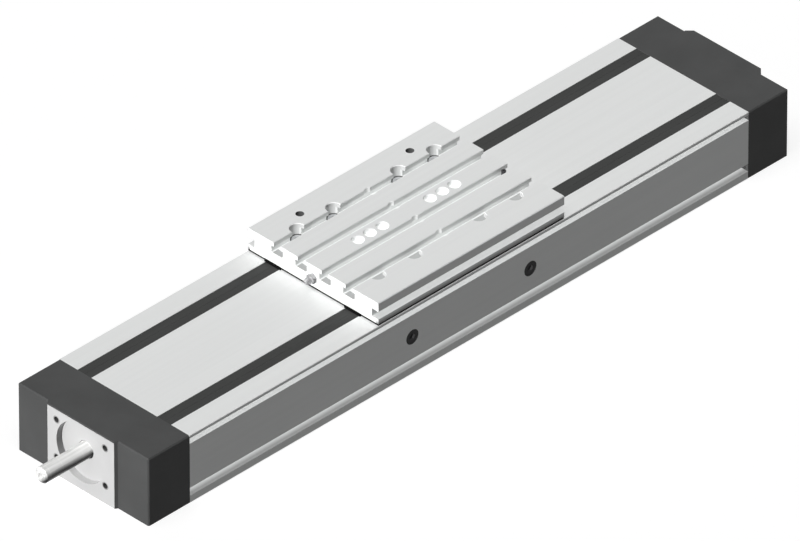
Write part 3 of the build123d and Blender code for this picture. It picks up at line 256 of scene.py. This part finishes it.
def carriage_aluminium(name, colour):
    """The carriage's plate: slot chambers lightened with painted light, and painted shade on the slot floors, in the
    bores and on the rim's lower edge beside the wipers.
    """
    material = extruded_aluminium(name, colour)
    tree = material.node_tree
    shader = tree.nodes["Principled BSDF"]
    height = along(tree, "Z")
    sideways = calculate(tree, "ABSOLUTE", along(tree, "Y"))
    lengthways = calculate(tree, "ABSOLUTE", along(tree, "X"))
    # Painted light: the slot chambers are brightened, standing in for light reaching inside the slots
    in_slots = between(tree, sideways, -1, TEE_OUTSIDE)
    in_chamber = between(tree, height, TEE_FLOOR - 2 * SKIN, TEE_LIP - SKIN)
    shade(tree, shader, calculate(tree, "MULTIPLY", in_slots, in_chamber), 1.2)
    # Painted shade on the slot floors, down the middle of each slot, at four places on the outer slots and near the
    # plate's ends
    across = calculate(tree, "MODULO", sideways, TEE_PITCH)
    in_shaded_track = between(tree, across, TEE_PITCH / 2 - SLOT_SHADE_HALF_WIDTH, TEE_PITCH / 2 + SLOT_SHADE_HALF_WIDTH)
    outer_slots = between(tree, sideways, TEE_PITCH, TEE_OUTSIDE)
    marks = calculate(tree, "GREATER_THAN", lengthways, SLOT_SHADE_ENDS)
    for middle in SLOT_SHADE_PLACES:
        shade_patch = between(tree, along(tree, "X"), middle - SLOT_SHADE_HALF_LENGTH, middle + SLOT_SHADE_HALF_LENGTH)
        marks = calculate(tree, "MAXIMUM", marks, calculate(tree, "MULTIPLY", outer_slots, shade_patch))
    on_floor = between(tree, height, TEE_FLOOR - SKIN, TEE_FLOOR + SKIN)
    track_shade = calculate(tree, "MULTIPLY", in_shaded_track, calculate(tree, "MULTIPLY", marks, on_floor))
    shade(tree, shader, track_shade, 0.5)
    # Painted shade on the rim's lower edge beside the wipers, darker towards the bottom
    at_rim = calculate(tree, "GREATER_THAN", sideways, NEAR_SIDE - 2 * SKIN)
    low = calculate(tree, "SUBTRACT", 1.0, ramp(tree, height, *RIM_SHADE))
    shade(tree, shader, calculate(tree, "MULTIPLY", at_rim, low), 0.3)
    # Painted shade inside the locating holes on the +Y side
    locating = between(tree, from_axes(tree, (0, 0, 0), LOCATING_HOLE, (1, 1, 0)), -1, LOCATING_RADIUS + SKIN)
    on_left = calculate(tree, "GREATER_THAN", along(tree, "Y"), 0)
    shade(tree, shader, calculate(tree, "MULTIPLY", locating, on_left), 0.10)
    for side in (-1, 1):
        hole = (COUNTERBORE[0] + side * COUNTERBORE_SPREAD, COUNTERBORE[1], 0)
        # Painted shade in and round the counterbores, darkest below the slot floor where the screw heads sit
        inside = between(tree, from_axes(tree, (0, 0, 0), hole, (1, 1, 0)), -1, COUNTERBORE_RADIUS + SKIN)
        shade(tree, shader, inside, 0.68)
        deep = between(tree, height, 0, TEE_FLOOR - SKIN)
        shade(tree, shader, calculate(tree, "MULTIPLY", inside, deep), 0.2)
    return material


def milled_aluminium(name, colour, roughness=0.36):
    """Bare machined aluminium with fine cutter marks, and painted shade in and round the four holes about the screw's
    axis.
    """
    material, tree, shader = new_material(name, colour, 0.0, roughness, Specular_IOR_Level=0.4)
    marks = pattern(tree, 420.0, detail=2.0, stretch=(1, 0.08, 1))
    clouds = pattern(tree, 22.0, detail=3.0)
    tint(tree, shader, spread(tree, clouds.outputs["Fac"], 0.0, 1.0), scaled(colour, 0.96), scaled(colour, 1.03))
    tree.links.new(spread(tree, marks.outputs["Fac"], roughness - 0.05, roughness + 0.06), shader.inputs["Roughness"])
    relief(tree, shader, marks.outputs["Fac"], 0.3, 0.00003)
    # Painted shade: a ring round each hole standing in for a countersink's shade, and darker inside the hole
    away = from_axes(tree, (0, 0, SCREW_AXIS), FLANGE_HOLE, (0, 1, 1))
    shade(tree, shader, between(tree, away, -1, FLANGE_HOLE_SHADE), 0.55)
    shade(tree, shader, between(tree, away, -1, FLANGE_HOLE_RADIUS + SKIN), 0.3)
    return material


def flange_aluminium(name, colour):
    """The drive end's flange, with painted shade on the wall round its recess, darker towards the +Y side."""
    material = milled_aluminium(name, colour)
    tree = material.node_tree
    # Painted shade on the recess wall, growing towards the +Y side
    away = from_axes(tree, (0, 0, SCREW_AXIS), (0, 0, 0), (0, 1, 1))
    wall = between(tree, away, RECESS_RADIUS - RECESS_SKIN, RECESS_RADIUS + RECESS_SKIN)
    shaded_side = ramp(tree, along(tree, "Y"), RECESS_SHADE_START, RECESS_RADIUS)
    shade(tree, tree.nodes["Principled BSDF"], calculate(tree, "MULTIPLY", wall, shaded_side), 0.3)
    return material


def rear_block_aluminium(name, colour):
    """The far end block, blackened where it closes the frame's side grooves."""
    material = milled_aluminium(name, colour)
    tree = material.node_tree
    outer = calculate(tree, "GREATER_THAN", calculate(tree, "ABSOLUTE", along(tree, "Y")), GROOVE_INSIDE)
    shade(tree, tree.nodes["Principled BSDF"], outer, 0.05)
    return material


def moulded_plastic(name, colour, roughness=0.48, grain=0.5):
    """Moulded plastic with a fine eroded grain."""
    material, tree, shader = new_material(name, colour, 0.0, roughness, Specular_IOR_Level=0.06)
    fine = pattern(tree, 1500.0, detail=4.0)
    clouds = pattern(tree, 30.0, detail=3.0)
    tint(tree, shader, spread(tree, clouds.outputs["Fac"], 0.0, 1.0), scaled(colour, 0.93), scaled(colour, 1.07))
    tree.links.new(spread(tree, fine.outputs["Fac"], roughness - 0.06, roughness + 0.08), shader.inputs["Roughness"])
    relief(tree, shader, fine.outputs["Fac"], grain, 0.00006)
    return material


def rubber(name, colour, roughness=0.62, shine=0.12):
    """Soft black rubber with a faint bloom."""
    material, tree, shader = new_material(name, colour, 0.0, roughness, Specular_IOR_Level=shine)
    bloom = pattern(tree, 60.0, detail=5.0, stretch=(0.15, 1, 1))
    tint(tree, shader, spread(tree, bloom.outputs["Fac"], 0.0, 1.0), scaled(colour, 0.9), scaled(colour, 1.25))
    tree.links.new(spread(tree, bloom.outputs["Fac"], roughness - 0.05, roughness + 0.1), shader.inputs["Roughness"])
    return material


def ground_steel(name, colour, roughness=0.24, grain=(0.02, 1, 1), metallic=0.9):
    """Ground or turned steel: fine marks across the stretched direction."""
    material, tree, shader = new_material(name, colour, metallic, roughness)
    marks = pattern(tree, 900.0, detail=2.0, stretch=grain)
    tree.links.new(spread(tree, marks.outputs["Fac"], roughness - 0.06, roughness + 0.08), shader.inputs["Roughness"])
    relief(tree, shader, marks.outputs["Fac"], 0.2, 0.00002)
    return material


def journal_steel(name, colour):
    """The screw's ground steel: bright, with streaks along its length and painted shade along its lower side."""
    material, tree, shader = new_material(name, colour, 0.1, 0.2, Specular_IOR_Level=0.25)
    streaks = pattern(tree, 330.0, detail=2.0, stretch=(0.03, 1, 1))
    tint(tree, shader, spread(tree, streaks.outputs["Fac"], 0.0, 1.0), scaled(colour, 0.6), scaled(colour, 1.08))
    # Painted shade: a dark band along the shaft's lower side, facing down and towards -Y
    height = steer(tree, "DOT_PRODUCT", in_millimetres(tree), UNDERSIDE_AXIS)
    shade(tree, shader, calculate(tree, "SUBTRACT", 1.0, ramp(tree, height, *UNDERSIDE)), 0.03)
    marks = pattern(tree, 900.0, detail=2.0, stretch=(1, 0.02, 0.02))
    tree.links.new(spread(tree, marks.outputs["Fac"], 0.16, 0.28), shader.inputs["Roughness"])
    return material


def nipple_zinc(name, colour):
    """Zinc plate on a small fitting, with dark patches that vary at random."""
    material, tree, shader = new_material(name, colour, 0.0, 0.3, Specular_IOR_Level=0.3)
    patches = pattern(tree, 260.0, detail=2.0)
    tint(tree, shader, spread(tree, patches.outputs["Fac"], 0.0, 1.0), scaled(colour, 0.12), colour)
    tree.links.new(spread(tree, patches.outputs["Fac"], 0.5, 0.25), shader.inputs["Roughness"])
    return material


def black_oxide(name, colour):
    """Black oxide on a screw: dark, slightly oily, with worn lighter spots."""
    material, tree, shader = new_material(name, colour, 0.6, 0.42)
    wear = pattern(tree, 500.0, detail=4.0)
    tint(tree, shader, spread(tree, wear.outputs["Fac"], 0.0, 1.0), scaled(colour, 0.8), scaled(colour, 1.5))
    tree.links.new(spread(tree, wear.outputs["Fac"], 0.34, 0.5), shader.inputs["Roughness"])
    return material


finishes = {
    "anodised": extruded_aluminium("clear anodised aluminium", (0.80, 0.81, 0.805)),
    "frame": frame_aluminium("frame aluminium", (0.80, 0.81, 0.805)),
    "carriage": carriage_aluminium("carriage aluminium", (0.80, 0.81, 0.805)),
    "machined": milled_aluminium("machined aluminium", (0.72, 0.72, 0.72)),
    "rear_block": rear_block_aluminium("far end block aluminium", (0.72, 0.72, 0.72)),
    "flange": flange_aluminium("flange aluminium", (0.54, 0.54, 0.54)),
    "cap_black": moulded_plastic("end cap plastic", (0.074, 0.075, 0.075)),
    "strip_black": rubber("seal strip", (0.045, 0.046, 0.045)),
    "seal_rubber": rubber("wiper rubber", (0.006, 0.006, 0.006), 0.7, 0.02),
    "rail_steel": ground_steel("rail steel", (0.60, 0.61, 0.62)),
    "block_steel": ground_steel("runner block steel", (0.50, 0.51, 0.52), 0.32),
    "cap_green": moulded_plastic("runner cap plastic", (0.05, 0.13, 0.10)),
    "shaft_steel": journal_steel("shaft steel", (0.92, 0.92, 0.91)),
    "bearing_steel": ground_steel("bearing steel", (0.60, 0.61, 0.62), 0.2, (1, 0.02, 0.02)),
    "ball_steel": ground_steel("ball steel", (0.70, 0.70, 0.72), 0.1),
    "black_screw": black_oxide("black oxide", (0.035, 0.035, 0.038)),
    "zinc_screw": ground_steel("zinc plate", (0.50, 0.51, 0.52), 0.34, (1, 1, 1), 0.15),
    "nipple_zinc": nipple_zinc("nipple zinc plate", (0.60, 0.60, 0.61)),
    "plug_black": moulded_plastic("plug plastic", (0.035, 0.035, 0.036), 0.4, 0.25),
    "wiper_white": moulded_plastic("nut wiper plastic", (0.72, 0.72, 0.70), 0.5, 0.2),
}
special = {"frame_profile": "frame", "carriage_plate": "carriage", "drive_end_block": "flange",
           "bearing_retainer": "flange", "far_end_block": "rear_block", "carriage_screws": "zinc_screw",
           "lube_nipple": "nipple_zinc"}
for part in frame["record"]["subparts"]:
    finish = finishes[special.get(part["node"], part["material_slot"])]
    mesh = nodes[part["node"]].data
    mesh.materials.clear()
    mesh.materials.append(finish)


# ---------------------------------------------------------------- pieces

def new_piece(name, shape, body, finish):
    """Turn a bmesh in millimetres into a piece of the object."""
    bmesh.ops.transform(shape, matrix=Matrix.Scale(MM, 4), verts=shape.verts)
    mesh = bpy.data.meshes.new(name)
    shape.to_mesh(mesh)
    shape.free()
    mesh.materials.append(finishes[finish])
    piece = bpy.data.objects.new(name, mesh)
    bpy.context.scene.collection.objects.link(piece)
    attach(piece, body)
    return piece


def add_block(shape, x, y, z):
    """Add a block between the two ends given for each axis."""
    made = bmesh.ops.create_cube(shape, size=1.0)["verts"]
    size = (x[1] - x[0], y[1] - y[0], z[1] - z[0])
    bmesh.ops.scale(shape, vec=size, verts=made)
    bmesh.ops.translate(shape, vec=((x[0] + x[1]) / 2, (y[0] + y[1]) / 2, (z[0] + z[1]) / 2), verts=made)
    return made


def seal_strip(name, centre):
    """The two lips of a slot's seal, which meet in a fine seam along the middle."""
    shape = bmesh.new()
    half, reach = STRIP_WIDTH / 2, STRIP_LENGTH / 2
    for way in (-1, 1):
        edges = sorted((centre + way * SEAM / 2, centre + way * half))
        lip = add_block(shape, (-reach, reach), edges, STRIP_Z)
        long_edges = [edge for edge in {e for vert in lip for e in vert.link_edges}
                      if abs(edge.verts[0].co.x - edge.verts[1].co.x) > reach]
        bmesh.ops.bevel(shape, geom=long_edges, offset=LIP_BEVEL, offset_type="OFFSET", segments=2,
                        profile=0.5, affect="EDGES", material=-1)
    return new_piece(name, shape, "frame", "strip_black")


for side_name, centre in (("left", STRIP_CENTRE), ("right", -STRIP_CENTRE)):
    strip = seal_strip(f"seal_strip_{side_name}", centre)
    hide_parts(f"outer_seal_{side_name}", f"inner_seal_{side_name}")


def passage_fillers(name, x, z, finish):
    """Four small blocks, one at each end of each passage."""
    shape = bmesh.new()
    for end in (-1, 1):
        for centre in (-STRIP_CENTRE, STRIP_CENTRE):
            half = PASSAGE_HALF - CLOSURE_GAP
            block = add_block(shape, sorted((end * x[0], end * x[1])), (centre - half, centre + half), z)
            outer_edges = [edge for edge in {e for vert in block for e in vert.link_edges}
                           if all(abs(abs(vert.co.x) - x[1]) < 1e-4 for vert in edge.verts)]
            bmesh.ops.bevel(shape, geom=outer_edges, offset=CLOSURE_BEVEL, offset_type="OFFSET", segments=2,
                            profile=0.5, affect="EDGES", material=-1)
    return new_piece(name, shape, "carriage", finish)


passage_fillers("passage_closures", CLOSURE_X, CLOSURE_Z, "anodised")
# Black rubber brushes, partly a dark piece standing in for the shade in the passages' mouths
passage_fillers("passage_shade_brushes", SHADE_BRUSH_X, SHADE_BRUSH_Z, "seal_rubber")


# ---------------------------------------------------------------- studio

def sun(name, shines_from, strength, spread_angle, casts_shadow):
    lamp = bpy.data.lights.new(name, "SUN")
    lamp.energy = strength
    lamp.angle = radians(spread_angle)
    lamp.use_shadow = casts_shadow
    holder = bpy.data.objects.new(name, lamp)
    holder.rotation_mode = "QUATERNION"
    holder.rotation_quaternion = Vector(shines_from).to_track_quat("Z", "Y")
    bpy.context.scene.collection.objects.link(holder)


sun("key lamp", KEY_FROM, KEY_STRENGTH, KEY_SPREAD, False)
sun("top lamp", TOP_FROM, TOP_STRENGTH, TOP_SPREAD, True)


def seen_directly(tree):
    """1 for what the camera, a mirror or glass shows, 0 for light that bounces off rough surfaces."""
    rays = tree.nodes.new("ShaderNodeLightPath")
    total = rays.outputs["Is Camera Ray"]
    for output in ("Is Glossy Ray", "Is Transmission Ray"):
        total = calculate(tree, "MAXIMUM", total, rays.outputs[output])
    return total


world = bpy.data.worlds.new("studio")
world.use_nodes = True
bpy.context.scene.world = world
tree = world.node_tree
background = tree.nodes["Background"]
background.inputs["Color"].default_value = (1.0, 1.0, 1.0, 1.0)
level = tree.nodes.new("ShaderNodeMapRange")
level.inputs["To Min"].default_value = AMBIENT
level.inputs["To Max"].default_value = 1.0
tree.links.new(seen_directly(tree), level.inputs["Value"])
tree.links.new(level.outputs["Result"], background.inputs["Strength"])

ground = bmesh.new()
bmesh.ops.create_grid(ground, x_segments=1, y_segments=1, size=FLOOR_REACH)
floor_mesh = bpy.data.meshes.new("floor")
ground.to_mesh(floor_mesh)
ground.free()
floor = bpy.data.objects.new("floor", floor_mesh)
bpy.context.scene.collection.objects.link(floor)
floor_material = bpy.data.materials.new("pale floor")
floor_material.use_nodes = True
tree = floor_material.node_tree
shader = tree.nodes["Principled BSDF"]
shader.inputs["Roughness"].default_value = 1.0
shader.inputs["Specular IOR Level"].default_value = 0.0
shader.inputs["Emission Color"].default_value = (1.0, 1.0, 1.0, 1.0)
seen = seen_directly(tree)
tone = tree.nodes.new("ShaderNodeMix")
tone.data_type = "RGBA"
tone.inputs["A"].default_value = (FLOOR_BOUNCE, FLOOR_BOUNCE, FLOOR_BOUNCE, 1.0)
tone.inputs["B"].default_value = (FLOOR_COLOUR, FLOOR_COLOUR, FLOOR_COLOUR, 1.0)
tree.links.new(seen, tone.inputs["Factor"])
tree.links.new(tone.outputs["Result"], shader.inputs["Base Color"])
tree.links.new(calculate(tree, "MULTIPLY", seen, FLOOR_GLOW), shader.inputs["Emission Strength"])
floor_mesh.materials.append(floor_material)

# ---------------------------------------------------------------- camera

camera_data = bpy.data.cameras.new("camera")
camera_data.lens, camera_data.sensor_width = LENS, SENSOR
camera_data.clip_start, camera_data.clip_end = 0.5, 60.0
camera = bpy.data.objects.new("camera", camera_data)
bpy.context.scene.collection.objects.link(camera)
bpy.context.scene.camera = camera
turn = Matrix.Rotation(radians(AZIMUTH), 3, "Z") @ Matrix.Rotation(radians(90.0 - ELEVATION), 3, "X")
right, up, back = turn.col[0], turn.col[1], turn.col[2]
offset_right = (IMAGE_WIDTH / 2 - AIM_PIXEL[0]) / PIXELS_PER_METRE
offset_up = (AIM_PIXEL[1] - IMAGE_HEIGHT / 2) / PIXELS_PER_METRE
distance = IMAGE_WIDTH * LENS / SENSOR / PIXELS_PER_METRE
target = AIM_POINT + right * offset_right + up * offset_up
camera.matrix_world = Matrix.Translation(target + back * distance) @ turn.to_4x4()

scene = bpy.context.scene
scene.view_settings.view_transform = "Standard"
